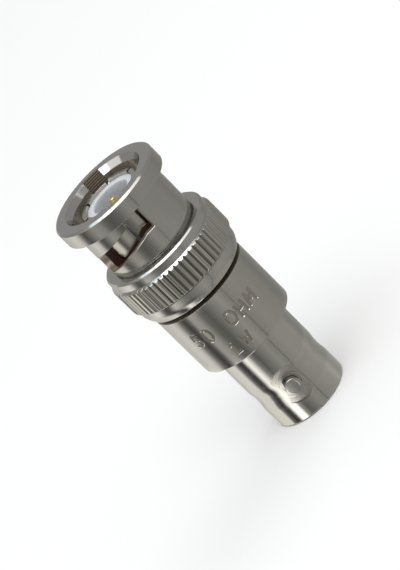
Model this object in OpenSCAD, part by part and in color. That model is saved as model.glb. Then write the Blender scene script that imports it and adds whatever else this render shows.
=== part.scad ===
// Bayonet feed-through terminator: plug with coupling nut, body with a shunt resistor, jack.
// Millimetres. The jack's end face stands on z = 0, and +Z runs along the axis to the plug's mouth.
// The two studs point along -Y and +Y.

/* [Jack] */
// Outer diameter of the jack barrel
jack_od = 9.65; // [9.4:0.05:10]
// Wall of the barrel round its bore
jack_wall = 0.765; // [0.7:0.005:0.85]
// Radial step of the bore's wide entry
entry_step = 0.18; // [0.16:0.01:0.22]
// Depth of the wide entry
jack_entry_depth = 3.1; // [2:0.1:4]
// Depth of the jack bore to its floor
jack_bore_depth = 8.4; // [8:0.1:10]
// Barrel length behind the bore's floor, up to the body
jack_back = 2.65; // [2.2:0.05:4]
// Length of the jack inside the body
jack_seat_len = 2.1; // [1.8:0.1:3]
// Radial step of that seat over the barrel
jack_seat_step = 0.425; // [0.3:0.025:0.6]
// Rounding of the barrel's end edge
jack_edge = 0.25; // [0.1:0.05:0.4]
// Depth of the turned waist round the studs
waist_depth = 0.125; // [0.05:0.025:0.15]
// Length of the waist
waist_len = 2.8; // [2:0.1:3.2]
// Length of the waist's straight bottom
waist_flat = 0.8; // [0.4:0.1:1.2]
// Height of the waist's middle
waist_z = 4.05; // [3.5:0.05:5]

/* [Studs] */
// How far a stud stands out of the barrel
stud_height = 0.675; // [0.6:0.025:0.75]
// Diameter of a stud
stud_d = 2; // [1.8:0.05:2.2]
// Height of the studs' axis
stud_z = 4.45; // [4:0.05:5.2]
// Chamfer on the stud's end
stud_chamfer = 0.15; // [0.05:0.05:0.3]
// Diameter of the milled flat round a stud
spotface_d = 4.8; // [4:0.1:5.4]
// Depth of that flat under the barrel's surface
spotface_depth = 0.26; // [0.16:0.02:0.3]

/* [Body] */
// Body wall round the jack's seat
body_wall = 0.96; // [0.7:0.02:1.4]
// Wall at the body's plug end, which grips the plug shell
front_wall = 2; // [1.5:0.1:3]
// Length of the hollow behind that wall
cavity_len = 2.7; // [2.2:0.1:4]
// Ledge that the resistor disc seats on
disc_ledge = 0.45; // [0.3:0.05:0.8]
// Chamfer at the body's plug end
body_chamfer = 0.3; // [0.1:0.05:0.5]
// Rounding at the body's jack end
body_edge = 0.15; // [0.05:0.05:0.3]

/* [Coupling nut] */
// Gap between the body and the nut at rest
nut_gap = 0.7; // [0.3:0.1:1.2]
// Radial step of the rolled rear lip under the knurl's valleys
lip_step = 0.18; // [0.1:0.02:0.4]
// Axial length of the lip
lip_len = 1.95; // [1.5:0.05:2.5]
// Rounding of the lip
lip_round = 1.1; // [0.5:0.05:1.1]
// Wall of the lip behind the washers
lip_wall = 1.2; // [0.9:0.05:1.4]
// Wall of the nut from its chamber to the knurl's crests
nut_wall = 1.47; // [1.3:0.01:1.8]
// Length of the knurl
knurl_len = 3.7; // [2.5:0.1:4.5]
// Number of knurl teeth
knurl_teeth = 60; // [48:1:72]
// Depth of the knurl's valleys
knurl_depth = 0.24; // [0.1:0.02:0.3]
// Width of a crest as a share of the pitch
knurl_crest = 0.36; // [0.2:0.02:0.6]
// Chamfer at the knurl's two ends
knurl_chamfer = 0.34; // [0.2:0.02:0.5]
// Radial step of the smooth flange under the knurl's valleys
flange_step = 0.12; // [0.05:0.01:0.3]
// Length of the smooth flange
flange_len = 1.1; // [1:0.05:2]
// Rounding of the flange's front edge
flange_round = 0.25; // [0.2:0.05:0.6]
// Depth of the relief groove under the sleeve's surface
relief_depth = 0.25; // [0.1:0.05:0.35]
// Length of the relief groove
relief_len = 0.4; // [0.3:0.05:0.6]
// Length of the front collar
collar_len = 2.1; // [1.6:0.05:3]
// Collar wall outside the entry grooves
collar_wall = 1.075; // [0.8:0.025:1.3]
// Rounding of the collar's mouth edge
collar_round = 0.3; // [0.2:0.05:0.7]
// Rounding of the collar's rear edge
collar_rear_round = 0.3; // [0.1:0.05:0.5]
// Radial step of the mouth's lead-in
mouth_step = 0.5; // [0.2:0.05:0.6]
// Depth of the mouth's lead-in
mouth_depth = 0.8; // [0.4:0.05:1.2]
// Turn of the nut at rest, seen from the mouth, anticlockwise
nut_turn = 7.5; // [-180:0.5:180]

/* [Bayonet grooves] */
// Radial gap between a mating barrel and the nut's bore
barrel_gap = 0.075; // [0.05:0.005:0.12]
// Gap on each side of a mating stud
stud_side_gap = 0.15; // [0.08:0.01:0.2]
// Gap over the end of a mating stud
stud_head_gap = 0.35; // [0.25:0.05:0.45]
// How far the groove's floor lies outside the sleeve, so that it cuts through
slot_breakout = 0.14; // [0.1:0.01:0.25]
// Straight run of the groove behind the collar
slot_straight = 3.2; // [2.8:0.05:4]
// Drop of the ramp in a full turn
slot_lead = 9.6; // [8:0.1:12]
// Turn from the straight run to the lock
lock_turn = 84; // [70:1:90]
// How far the lock hole lies back towards the mouth
lock_rise = 0.2; // [0.1:0.05:0.4]
// Added diameter of the lock hole
lock_play = 0.1; // [0:0.05:0.2]
// Metal between the ramp's end and the flange
slot_margin = 0.65; // [0.4:0.05:1.2]

/* [Plug shell] */
// Radial gap between the contact ring and a mating jack's bore
contact_gap = 0.11; // [0.06:0.01:0.15]
// Wall of the contact ring
contact_wall = 0.65; // [0.5:0.05:0.8]
// Depth of the contact ring's rim below the mouth
rim_depth = 1; // [0.6:0.05:1.6]
// Rounding of the rim
rim_round = 0.2; // [0.1:0.05:0.25]
// Number of finger slots, an even number
finger_slots = 6; // [4:2:8]
// Width of a finger slot
finger_slot_w = 0.35; // [0.2:0.05:0.5]
// Length of a finger slot
finger_len = 6.2; // [4:0.1:7]
// Turn of the finger slots, seen from the mouth, clockwise from -Y
finger_turn = 7.5; // [0:0.5:60]
// Step of the gasket's seat over the contact ring
gasket_seat_step = 0.05; // [0.03:0.01:0.1]
// Depth of the relief at the fingers' roots
root_relief = 0.25; // [0.1:0.05:0.35]
// Length of that relief
root_len = 2.6; // [1.5:0.1:3]
// Wall of the spigot in the body
spigot_wall = 0.4; // [0.3:0.02:0.5]
// Radial step of the shank, which carries the washers, over the spigot
shank_step = 0.3; // [0.2:0.02:0.35]
// Length of the spigot past the body's wall
spigot_tail = 0.4; // [0.2:0.1:0.8]
// Thickness of the flange that the nut pulls on
plug_flange_t = 1; // [0.7:0.05:1.3]

/* [Nut spring pack] */
// Radial step of the nut's chamber, for flange and washers, over its bore
shoulder_step = 0.9; // [0.8:0.05:1.1]
// Thickness of a thrust washer
thrust_t = 0.35; // [0.25:0.05:0.5]
// Height of the wave washer at rest
wave_h = 1.3; // [1.1:0.05:1.5]
// Thickness of its strip
wave_t = 0.25; // [0.2:0.01:0.3]
// Waves round the wave washer
wave_count = 3; // [3:1:5]

/* [Centre line] */
// Diameter of the plug's pin
pin_d = 1.35; // [1.3:0.01:1.38]
// Depth of the pin's tip below the rim
pin_depth = 0.5; // [0.2:0.05:1]
// Radius of the pin's blunt tip
pin_tip = 0.3; // [0.1:0.05:0.5]
// Diameter of the pin's shank in the insulator
pin_shank_d = 2.1; // [1.8:0.05:2.3]
// Diameter of the two locating collars
collar_d = 3.2; // [2.8:0.1:3.6]
// Thickness of the locating collars
centre_collar_t = 0.8; // [0.5:0.05:1]
// Radial gap between a mating pin and the socket
pin_gap = 0.025; // [0.01:0.005:0.05]
// Wall of the socket
socket_wall = 0.33; // [0.28:0.01:0.4]
// Depth of the socket's bore
socket_bore_depth = 5.6; // [5:0.1:6]
// Width of the slot between the socket's two tines
tine_slot_w = 0.25; // [0.15:0.05:0.3]
// Length of the tines
tine_len = 3.2; // [2:0.1:4]
// Depth of the socket inside its insulator's nose
socket_recess = 0.2; // [0.1:0.05:0.4]
// Diameter of the stem behind the socket and of the pin's tail
stem_d = 1.8; // [1.6:0.05:2]
// Length of the stem past the resistor's seat
stem_past = 0.85; // [0.75:0.05:1.2]
// Diameter of the tenon that joins pin and socket
tenon_d = 0.9; // [0.7:0.05:1]
// Length of the tenon
tenon_len = 1.4; // [1:0.1:2]

/* [Insulators] */
// Depth of the plug insulator's face below the rim
ptfe_depth = 0.3; // [0.1:0.05:0.6]
// Wall of the insulator round the recess for the pin
recess_wall = 0.83; // [0.6:0.01:1]
// Depth of that recess
recess_depth = 5.4; // [5:0.1:5.8]
// Radial step of the plug insulator's rear flange
plug_ins_step = 0.3; // [0.2:0.02:0.34]
// Length of that flange
plug_ins_flange = 1.8; // [1.2:0.1:2.4]
// Length of the bead behind the pin's collar
plug_bead_len = 2.3; // [1.8:0.1:2.6]
// Wall of the jack insulator's nose round the socket
nose_wall = 1.3; // [1.1:0.05:1.4]
// Depth of the nose behind the jack's face
nose_depth = 3.4; // [3.3:0.1:4]
// Web of the jack shell that the insulator seats on
web_t = 0.9; // [0.6:0.05:1.2]
// Radial step of the jack insulator's flange over its nose
jack_ins_step = 1.22; // [1:0.02:1.4]
// Length of that flange
jack_ins_flange = 1.4; // [1:0.1:1.6]
// Thickness of the gasket
gasket_t = 1; // [0.7:0.05:1.3]
// Radial gap between the gasket and the nut
gasket_gap = 0.15; // [0.1:0.01:0.25]

/* [Resistor] */
// Thickness of the resistor disc
disc_t = 0.8; // [0.5:0.05:1.2]
// Thickness of the contact ring under it
contact_t = 0.4; // [0.2:0.05:0.6]
// Radial width of the contact ring
contact_w = 1.2; // [0.8:0.1:1.5]
// Height of the solder ring
solder_h = 0.55; // [0.3:0.05:0.6]
// Radial width of the solder ring's foot
solder_w = 0.9; // [0.5:0.1:1.2]

/* [Clearances] */
// Radial gap of parts that are fixed in one another
fit_gap = 0.02; // [0.01:0.005:0.03]
// Radial gap of parts that turn or slide
run_gap = 0.1; // [0.08:0.01:0.15]
// Axial gap of parts that turn or slide
play = 0.02; // [0.01:0.005:0.05]

/* [Hidden] */
$fn = 96;
past = 1;            // how far a cutter runs past what it cuts
turns = [0, 180];    // the two sides that carry a stud or a groove
small_arc = 3;       // steps of the small roundings

// Radii of the jack, of what seats in it and of the body round it
jack_r = jack_od / 2;
jack_bore_r = jack_r - jack_wall;
jack_entry_r = jack_bore_r + entry_step;
jack_seat_r = jack_r + jack_seat_step;
stud_r = jack_r + stud_height;
pin_r = pin_d / 2;
socket_bore_r = pin_r + pin_gap;
socket_r = socket_bore_r + socket_wall;
nose_r = socket_r + fit_gap + nose_wall;
jack_ins_r = nose_r + jack_ins_step;
jack_rear_r = jack_ins_r + fit_gap;
body_r = jack_seat_r + fit_gap + body_wall;

// Heights, from the jack's face upwards
web_z = jack_bore_depth + web_t;
body_z0 = jack_bore_depth + jack_back;
jack_top = body_z0 + jack_seat_len;
jack_ins_top = web_z + jack_ins_flange;
disc_z = jack_top + contact_t;
seat_z = disc_z + disc_t;
wall_z = seat_z + cavity_len;
body_z1 = wall_z + front_wall;
stem_top = seat_z + stem_past;

// Nut, from its lip to its mouth
pitch_angle = atan(slot_lead / (2 * PI * (stud_r + stud_head_gap)));
groove_w = stud_d + 2 * stud_side_gap;
ramp_w = groove_w / cos(pitch_angle);
ramp_drop = slot_lead * lock_turn / 360;
sleeve_len = slot_straight + ramp_drop + slot_margin;
nut_z0 = body_z1 + nut_gap;
knurl_z0 = nut_z0 + lip_len;
knurl_z1 = knurl_z0 + knurl_len;
flange_z1 = knurl_z1 + flange_len;
collar_z0 = flange_z1 + sleeve_len;
mouth_z = collar_z0 + collar_len;
slot_z = collar_z0 - slot_straight;
bore_r = jack_r + barrel_gap;
mouth_r = bore_r + mouth_step;
groove_r = stud_r + stud_head_gap;
sleeve_r = groove_r - slot_breakout;
collar_r = groove_r + collar_wall;
chamber_r = bore_r + shoulder_step;
knurl_r = chamber_r + nut_wall;
valley_r = knurl_r - knurl_depth;
lip_r = valley_r - lip_step;
flange_r = valley_r - flange_step;

// Spring pack in the nut's chamber, from the lip to the shoulder
lip_z = nut_z0 + lip_wall;
rear_washer_z = lip_z + play;
wave_z = rear_washer_z + thrust_t;
front_washer_z = wave_z + wave_h;
plug_flange_z0 = front_washer_z + thrust_t;
plug_flange_z1 = plug_flange_z0 + plug_flange_t;
shoulder_z = plug_flange_z1 + play;

// Plug, from its spigot to its rim
contact_r = jack_bore_r - contact_gap;
contact_r0 = contact_r - contact_wall;
recess_r = contact_r0 - fit_gap - recess_wall;
plug_rear_r = contact_r0 + plug_ins_step;
spigot_r = plug_rear_r + spigot_wall;
shank_r = spigot_r + shank_step;
lip_bore_r = shank_r + 2 * run_gap;
washer_r0 = shank_r + run_gap;
washer_r1 = chamber_r - 2 * run_gap;
spigot_z = wall_z - spigot_tail;
pin_collar_z = spigot_z + plug_bead_len;
plug_step_z = pin_collar_z + plug_ins_flange;
gasket_r0 = contact_r + gasket_seat_step;
gasket_r1 = bore_r - gasket_gap;
gasket_z1 = plug_flange_z1 + gasket_t;
rim_z = mouth_z - rim_depth;
ptfe_z = rim_z - ptfe_depth;
recess_z = ptfe_z - recess_depth;
tip_z = rim_z - pin_depth;
tine_z = nose_depth + socket_recess;

// Points along an arc in a turned outline, from angle a0 to a1
function arc(centre, r, a0, a1, steps = 5) = [
    for (i = [0:steps])
        let (a = a0 + (a1 - a0) * i / steps)
        [centre[0] + r * cos(a), centre[1] + r * sin(a)]
];

// One tooth of the knurl: valley, then the two edges of its crest
function tooth(i) =
    let (pitch = 360 / knurl_teeth, half = pitch * knurl_crest / 2)
    [for (p = [[-pitch / 2, valley_r], [-half, knurl_r], [half, knurl_r]])
        let (a = i * pitch + p[0])
        p[1] * [cos(a), sin(a)]];

// A turned solid from its outline in radius and height
module turned(outline) {
    rotate_extrude() polygon(outline);
}

// A plain turned ring
module ring(r0, r1, z0, z1) {
    turned([[r0, z0], [r1, z0], [r1, z1], [r0, z1]]);
}

// Straight teeth of the knurl, chamfered at both ends
module knurl() {
    core_r = lip_r - knurl_chamfer;
    end_r = knurl_r - knurl_chamfer;
    intersection() {
        translate([0, 0, knurl_z0])
            linear_extrude(knurl_len)
                difference() {
                    polygon([for (i = [0:knurl_teeth - 1]) each tooth(i)]);
                    circle(core_r);
                }
        turned([
            [core_r - past, knurl_z0 - past], [end_r, knurl_z0 - past], [end_r, knurl_z0],
            [knurl_r, knurl_z0 + knurl_chamfer], [knurl_r, knurl_z1 - knurl_chamfer],
            [end_r, knurl_z1], [end_r, knurl_z1 + past], [core_r - past, knurl_z1 + past]
        ]);
    }
}

// Ramp of one bayonet groove, from the straight run to the lock, cut right through the sleeve
module ramp() {
    steps = 28;
    radii = [bore_r - past, sleeve_r + past];
    points = [
        for (i = [0:steps], r = radii, side = [0, 1])
            let (a = lock_turn * i / steps, z = slot_z - slot_lead * a / 360)
            [-r * sin(a), -r * cos(a), z + side * ramp_w]
    ];
    around = [0, 1, 3, 2];
    walls = [
        for (i = [0:steps - 1], k = [0:3])
            let (a = 4 * i + around[k], b = 4 * i + around[(k + 1) % 4])
            each [[a, b, b + 4], [a, b + 4, a + 4]]
    ];
    ends = [[2, 3, 1, 0], [for (k = [0, 1, 3, 2]) 4 * steps + k]];
    polyhedron(points, concat(walls, ends));
}

// All that is cut for one stud: straight entry, ramp and lock hole
module bayonet_groove() {
    entry_h = mouth_z - slot_z + past;
    intersection() {
        translate([0, 0, slot_z]) cylinder(r = groove_r, h = entry_h);
        translate([-groove_w / 2, -groove_r - past, slot_z])
            cube([groove_w, groove_r, entry_h]);
    }
    ramp();
    lock_z = slot_z - ramp_drop + ramp_w / 2 + lock_rise;
    rotate(-lock_turn)
        translate([0, 0, lock_z])
            rotate([90, 0, 0])
                cylinder(d = groove_w + lock_play, h = sleeve_r + past);
}

// Turned and knurled nut with two bayonet grooves
module coupling_nut() {
    outline = concat(
        [[lip_bore_r, nut_z0]],
        arc([lip_r - lip_round, nut_z0 + lip_round], lip_round, -90, 0),
        [[lip_r, knurl_z1], [flange_r, knurl_z1]],
        arc([flange_r - flange_round, flange_z1 - flange_round], flange_round, 0, 90),
        [
            [sleeve_r - relief_depth, flange_z1],
            [sleeve_r - relief_depth, flange_z1 + relief_len - relief_depth],
            [sleeve_r, flange_z1 + relief_len],
            [sleeve_r, collar_z0]
        ],
        arc([collar_r - collar_rear_round, collar_z0 + collar_rear_round], collar_rear_round, -90, 0),
        arc([collar_r - collar_round, mouth_z - collar_round], collar_round, 0, 90),
        [
            [mouth_r, mouth_z],
            [bore_r, mouth_z - mouth_depth],
            [bore_r, shoulder_z],
            [chamber_r, shoulder_z],
            [chamber_r, lip_z],
            [lip_bore_r, lip_z]
        ]
    );
    color("silver")
        rotate(nut_turn)
            difference() {
                union() {
                    turned(outline);
                    knurl();
                }
                for (a = turns) rotate(a) bayonet_groove();
            }
}

// Contact ring, flange, shank and spigot in one piece
module plug_shell() {
    outline = concat(
        [
            [plug_rear_r, spigot_z],
            [spigot_r, spigot_z],
            [spigot_r, body_z1],
            [shank_r, body_z1],
            [shank_r, plug_flange_z0],
            [chamber_r - run_gap, plug_flange_z0],
            [chamber_r - run_gap, plug_flange_z1],
            [gasket_r0, plug_flange_z1],
            [gasket_r0, gasket_z1],
            [contact_r - root_relief, gasket_z1],
            [contact_r - root_relief, gasket_z1 + root_len - root_relief],
            [contact_r, gasket_z1 + root_len]
        ],
        arc([contact_r - rim_round, rim_z - rim_round], rim_round, 0, 90, small_arc),
        [
            [contact_r0, rim_z],
            [contact_r0, plug_step_z],
            [plug_rear_r, plug_step_z]
        ]
    );
    color("gainsboro")
        difference() {
            turned(outline);
            for (i = [0:finger_slots / 2 - 1])
                rotate(i * 360 / finger_slots - finger_turn)
                    translate([-finger_slot_w / 2, -contact_r - past, rim_z - finger_len])
                        cube([finger_slot_w, 2 * (contact_r + past), finger_len + past]);
        }
}

// Rubber ring that a mating jack's end face presses on
module plug_gasket() {
    color("sienna") ring(gasket_r0 + fit_gap, gasket_r1, plug_flange_z1, gasket_z1);
}

// Insulator that fills the contact ring, with a recess round the pin
module plug_insulator() {
    hole_r = pin_shank_d / 2 + fit_gap;
    color("white")
        turned([
            [hole_r, pin_collar_z],
            [plug_rear_r - fit_gap, pin_collar_z],
            [plug_rear_r - fit_gap, plug_step_z],
            [contact_r0 - fit_gap, plug_step_z],
            [contact_r0 - fit_gap, ptfe_z],
            [recess_r, ptfe_z],
            [recess_r, recess_z],
            [hole_r, recess_z]
        ]);
}

// Bead with a seat for a locating collar at its face towards the given height
module bead(r, z0, z1, collar_low) {
    hole_r = stem_d / 2 + fit_gap;
    seat_r = collar_d / 2 + fit_gap;
    seat_z0 = collar_low ? z0 - past : z1 - centre_collar_t;
    seat_h = centre_collar_t + past;
    difference() {
        ring(hole_r, r, z0, z1);
        translate([0, 0, seat_z0]) cylinder(r = seat_r, h = seat_h);
    }
}

// Bead behind the pin's collar
module plug_bead() {
    color("ivory") bead(plug_rear_r - fit_gap, spigot_z, pin_collar_z, false);
}

// Pin with its shank, collar, tail and tenon
module plug_pin() {
    color("gold")
        turned(concat(
            [
                [0, stem_top - tenon_len],
                [tenon_d / 2, stem_top - tenon_len],
                [tenon_d / 2, stem_top],
                [stem_d / 2, stem_top],
                [stem_d / 2, pin_collar_z - centre_collar_t],
                [collar_d / 2, pin_collar_z - centre_collar_t],
                [collar_d / 2, pin_collar_z],
                [pin_shank_d / 2, pin_collar_z],
                [pin_shank_d / 2, recess_z],
                [pin_r, recess_z]
            ],
            arc([pin_r - pin_tip, tip_z - pin_tip], pin_tip, 0, 90),
            [[0, tip_z]]
        ));
}

// Flat ring on the nut's lip
module thrust_washer_rear() {
    color("lightsteelblue") ring(washer_r0, washer_r1, rear_washer_z, wave_z);
}

// Spring between the thrust washers: a strip with wavy faces, wave_count waves round
module wave_washer() {
    steps = 24 * wave_count;
    swing = (wave_h - wave_t) / 2;
    corners = [[washer_r0, 0], [washer_r1, 0], [washer_r1, wave_t], [washer_r0, wave_t]];
    points = [
        for (i = [0:steps - 1], c = corners)
            let (a = 360 * i / steps, lift = swing * (1 + cos(wave_count * a)))
            [c[0] * cos(a), c[0] * sin(a), wave_z + c[1] + lift]
    ];
    faces = [
        for (i = [0:steps - 1], k = [0:3])
            let (a = 4 * i, b = 4 * ((i + 1) % steps), n = (k + 1) % 4)
            each [[a + k, a + n, b + n], [a + k, b + n, b + k]]
    ];
    color("slategray") polyhedron(points, faces);
}

// Flat ring under the plug shell's flange
module thrust_washer_front() {
    color("lightsteelblue") ring(washer_r0, washer_r1, front_washer_z, plug_flange_z0);
}

// Plain body that holds the plug shell, the resistor and the jack
module body_sleeve() {
    seat_r = jack_seat_r + fit_gap;
    color("silver")
        turned(concat(
            [[seat_r, body_z0]],
            arc([body_r - body_edge, body_z0 + body_edge], body_edge, -90, 0, small_arc),
            [
                [body_r, body_z1 - body_chamfer],
                [body_r - body_chamfer, body_z1],
                [spigot_r + fit_gap, body_z1],
                [spigot_r + fit_gap, wall_z],
                [jack_seat_r - disc_ledge, wall_z],
                [jack_seat_r - disc_ledge, seat_z],
                [seat_r, seat_z]
            ]
        ));
}

// Ring-shaped resistor between the centre line and the body
module resistor_disc() {
    color("dimgray") ring(stem_d / 2 + fit_gap, jack_seat_r - fit_gap, disc_z, seat_z);
}

// Solder between the resistor's inner rim and the socket's stem
module solder_ring() {
    r0 = stem_d / 2 + fit_gap;
    color("lightgray") turned([[r0, seat_z], [r0 + solder_w, seat_z], [r0, seat_z + solder_h]]);
}

// Plated ring between the jack shell and the resistor's rim
module contact_ring() {
    color("gold") ring(jack_seat_r - fit_gap - contact_w, jack_seat_r - fit_gap, jack_top, disc_z);
}

// Barrel with waist, studs and their milled flats
module jack_shell() {
    bore_edge = jack_edge / 2;
    flat_r = jack_r - spotface_depth;
    hole_r = nose_r + fit_gap;
    outline = concat(
        [[jack_entry_r + bore_edge, 0]],
        arc([jack_r - jack_edge, jack_edge], jack_edge, -90, 0),
        [
            [jack_r, waist_z - waist_len / 2],
            [jack_r - waist_depth, waist_z - waist_flat / 2],
            [jack_r - waist_depth, waist_z + waist_flat / 2],
            [jack_r, waist_z + waist_len / 2],
            [jack_r, body_z0],
            [jack_seat_r, body_z0],
            [jack_seat_r, jack_top],
            [jack_rear_r, jack_top],
            [jack_rear_r, web_z],
            [hole_r, web_z],
            [hole_r, jack_bore_depth],
            [jack_bore_r, jack_bore_depth],
            [jack_bore_r, jack_entry_depth + entry_step],
            [jack_entry_r, jack_entry_depth],
            [jack_entry_r, bore_edge]
        ]
    );
    root_r = (flat_r + jack_entry_r) / 2;
    stud_h = stud_r - root_r;
    color("silver")
        union() {
            difference() {
                turned(outline);
                for (a = turns)
                    rotate(a) translate([0, -flat_r, stud_z]) rotate([90, 0, 0])
                        cylinder(d = spotface_d, h = stud_h);
            }
            for (a = turns)
                rotate(a) translate([0, -root_r, stud_z]) rotate([90, 0, 0]) {
                    cylinder(d = stud_d, h = stud_h - stud_chamfer);
                    translate([0, 0, stud_h - stud_chamfer])
                        cylinder(d1 = stud_d, d2 = stud_d - 2 * stud_chamfer, h = stud_chamfer);
                }
        }
}

// Insulator nose round the socket, with the flange that seats on the shell's web
module jack_insulator() {
    hole_r = socket_r + fit_gap;
    color("white")
        turned([
            [hole_r, nose_depth],
            [nose_r, nose_depth],
            [nose_r, web_z],
            [jack_ins_r, web_z],
            [jack_ins_r, jack_ins_top],
            [hole_r, jack_ins_top]
        ]);
}

// Bead behind the socket's collar
module jack_bead() {
    color("ivory") bead(jack_ins_r, jack_ins_top, jack_top, true);
}

// Slotted socket with its collar and stem
module jack_socket() {
    tenon_r = tenon_d / 2 + fit_gap;
    color("gold")
        difference() {
            turned([
                [0, tine_z],
                [socket_r, tine_z],
                [socket_r, jack_ins_top],
                [collar_d / 2, jack_ins_top],
                [collar_d / 2, jack_ins_top + centre_collar_t],
                [stem_d / 2, jack_ins_top + centre_collar_t],
                [stem_d / 2, stem_top],
                [0, stem_top]
            ]);
            translate([0, 0, tine_z - past])
                cylinder(r = socket_bore_r, h = socket_bore_depth + past);
            translate([0, 0, stem_top - tenon_len - fit_gap])
                cylinder(r = tenon_r, h = tenon_len + past);
            translate([-socket_r - past, -tine_slot_w / 2, tine_z - past])
                cube([2 * (socket_r + past), tine_slot_w, tine_len + past]);
        }
}

coupling_nut();
plug_shell();
plug_gasket();
plug_insulator();
plug_bead();
plug_pin();
thrust_washer_rear();
wave_washer();
thrust_washer_front();
body_sleeve();
resistor_disc();
solder_ring();
contact_ring();
jack_shell();
jack_insulator();
jack_bead();
jack_socket();
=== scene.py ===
import math

import bmesh
import bpy
import numpy as np
from mathutils import Matrix, Vector
from mathutils.geometry import delaunay_2d_cdt


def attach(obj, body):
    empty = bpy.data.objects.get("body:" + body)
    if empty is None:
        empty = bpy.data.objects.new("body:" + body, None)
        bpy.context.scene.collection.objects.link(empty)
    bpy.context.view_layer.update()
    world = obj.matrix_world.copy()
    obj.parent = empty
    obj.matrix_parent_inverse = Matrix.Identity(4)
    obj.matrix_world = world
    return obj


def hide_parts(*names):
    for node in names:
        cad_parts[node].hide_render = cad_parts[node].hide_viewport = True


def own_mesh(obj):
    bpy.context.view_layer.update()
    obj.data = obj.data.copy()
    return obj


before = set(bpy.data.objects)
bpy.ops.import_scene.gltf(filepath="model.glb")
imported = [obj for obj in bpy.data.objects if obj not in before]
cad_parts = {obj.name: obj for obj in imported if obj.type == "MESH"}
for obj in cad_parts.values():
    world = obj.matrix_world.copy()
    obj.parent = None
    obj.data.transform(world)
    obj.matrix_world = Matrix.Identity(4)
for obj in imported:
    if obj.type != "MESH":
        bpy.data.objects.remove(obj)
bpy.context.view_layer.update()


# Jack shell: the bayonet barrel that a mating plug's nut goes over. Turned from brass bar, with a shallow
# waist, then milled flat round the two studs and plated with bright nickel. It is pressed into the body.

def outline_of(corners):
    """Closed section in radius and height, in mm, anticlockwise. A corner is (r, z) or (r, z, rounding).
    A row of the result is one stretch: its two ends and the outward normals there."""
    straight, facet = 0.01, 11
    count = len(corners)
    stations = []
    for i, corner in enumerate(corners):
        here = np.array(corner[:2], float)
        along = here - np.array(corners[i - 1][:2], float)
        onward = np.array(corners[(i + 1) % count][:2], float) - here
        along /= np.linalg.norm(along)
        onward /= np.linalg.norm(onward)
        turn = math.atan2(along[0] * onward[1] - along[1] * onward[0], along @ onward)
        rounding = corner[2] if len(corner) > 2 else 0
        facing = np.array([along[1], -along[0]])
        if not rounding or abs(turn) < straight:
            stations.append([(here, facing), (here, np.array([onward[1], -onward[0]]))])
            continue
        hand = 1 if turn > 0 else -1
        reach = rounding * math.tan(abs(turn) / 2)
        centre = here - along * reach + hand * rounding * np.array([-along[1], along[0]])
        steps = max(2, math.ceil(abs(math.degrees(turn)) / facet))
        bend = []
        for k in range(steps + 1):
            c, s = math.cos(turn * k / steps), math.sin(turn * k / steps)
            normal = np.array([c * facing[0] - s * facing[1], s * facing[0] + c * facing[1]])
            bend.append((centre + hand * rounding * normal, normal))
        stations.append(bend)
    rows = []
    for i, bend in enumerate(stations):
        if len(bend) > 2:
            for (p, m), (q, n) in zip(bend, bend[1:]):
                rows.append((p, q, m, n))
        start, end = bend[-1], stations[(i + 1) % count][0]
        if np.linalg.norm(end[0] - start[0]) > 1e-5:
            rows.append((start[0], end[0], start[1], start[1]))
    return np.array(rows)


def plain_mesh(name, verts, faces):
    """A mesh from its points and faces."""
    made = bpy.data.meshes.new(name)
    made.from_pydata(verts, [], faces)
    return made


def turned_mesh(name, outline, steps):
    """The section swung round the Z axis, in mm, with its faces outwards and its poles closed."""
    angles = np.arange(steps) * (2 * math.pi / steps)
    verts = []
    rings = []
    for r, z in outline[:, 0]:
        first = len(verts)
        if r < 1e-6:
            verts.append((0.0, 0.0, z))
            rings.append([first] * steps)
        else:
            verts.extend(zip(r * np.cos(angles), r * np.sin(angles), [z] * steps))
            rings.append(list(range(first, first + steps)))
    faces = []
    for a, b in zip(rings, rings[1:] + rings[:1]):
        for j in range(steps):
            k = (j + 1) % steps
            face = list(dict.fromkeys((a[j], a[k], b[k], b[j])))
            if len(face) > 2:
                faces.append(face)
    return plain_mesh(name, verts, faces)


def put_in(name, data):
    """A new object in the scene."""
    made = bpy.data.objects.new(name, data)
    bpy.context.scene.collection.objects.link(made)
    return made


def finished_mesh(work):
    """A work object's mesh after its modifier, as a plain mesh. The object goes."""
    bpy.context.view_layer.update()
    done = bpy.data.meshes.new_from_object(work.evaluated_get(bpy.context.evaluated_depsgraph_get()))
    bpy.data.objects.remove(work)
    return done


def cut(mesh, tool, overlaps=False):
    """The mesh with the tool's volume taken out of it, both in mm. A tool's strokes may overlap."""
    work = put_in("work", mesh)
    cutter = put_in("cutter", tool)
    step = work.modifiers.new("cut", "BOOLEAN")
    step.object = cutter
    step.operation = "DIFFERENCE"
    step.solver = "EXACT"
    step.use_self = overlaps
    done = finished_mesh(work)
    bpy.data.objects.remove(cutter)
    bpy.data.meshes.remove(tool)
    return done


def read(items, name, width, kind):
    """One property of many mesh items, as rows of that width."""
    values = np.empty(len(items) * width, kind)
    items.foreach_get(name, values)
    return values.reshape(-1, width) if width > 1 else values


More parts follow.
